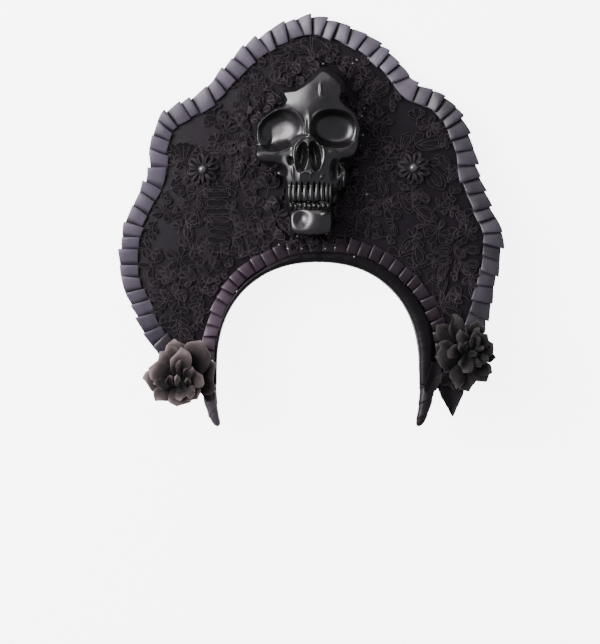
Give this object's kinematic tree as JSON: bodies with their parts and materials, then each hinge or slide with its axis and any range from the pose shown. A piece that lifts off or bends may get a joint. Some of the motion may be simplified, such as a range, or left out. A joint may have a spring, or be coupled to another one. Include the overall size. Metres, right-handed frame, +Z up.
{
  "type": "kokoshnik headdress",
  "caption": "Tall crest headdress on a stiff head band, edged with pleated ribbon, covered in corded lace, with a resin skull and fabric roses.",
  "frame": {"origin": "middle of the footprint, on the surface that it lies on", "axes": "+X towards the wearer's left, +Y from the band's tips towards the crest's apex, +Z up out of the face"},
  "size_m": [0.285, 0.306, 0.0643],
  "materials": {
    "panel_satin": "black satin stretched on a stiff plate",
    "band_satin": "black satin, padded and wrapped",
    "ribbon_satin": "knife pleated black satin ribbon with a soft sheen",
    "inner_ribbon_satin": "knife pleated satin ribbon, black with a plum cast",
    "lace": "matt corded lace",
    "bead_glass": "polished dark bead",
    "skull_resin": "glossy black cast resin",
    "rose_fabric": "dyed fabric petals, matt"
  },
  "bodies": {
    "root": {"backing_panel": "panel_satin", "headband": "band_satin", "padded_roll": "band_satin", "band_tip_left": "band_satin", "band_tip_right": "band_satin", "outer_pleat_trim": "ribbon_satin", "inner_pleat_trim": "inner_ribbon_satin", "lace_left": "lace", "lace_right": "lace", "lace_crown": "lace", "lace_flower_left": "lace", "lace_flower_right": "lace", "flower_bead_left": "bead_glass", "flower_bead_right": "bead_glass", "skull": "skull_resin", "satin_leaf_right": "ribbon_satin", "rose_left": "rose_fabric", "rose_right": "rose_fabric"}
  },
  "joints": []
}
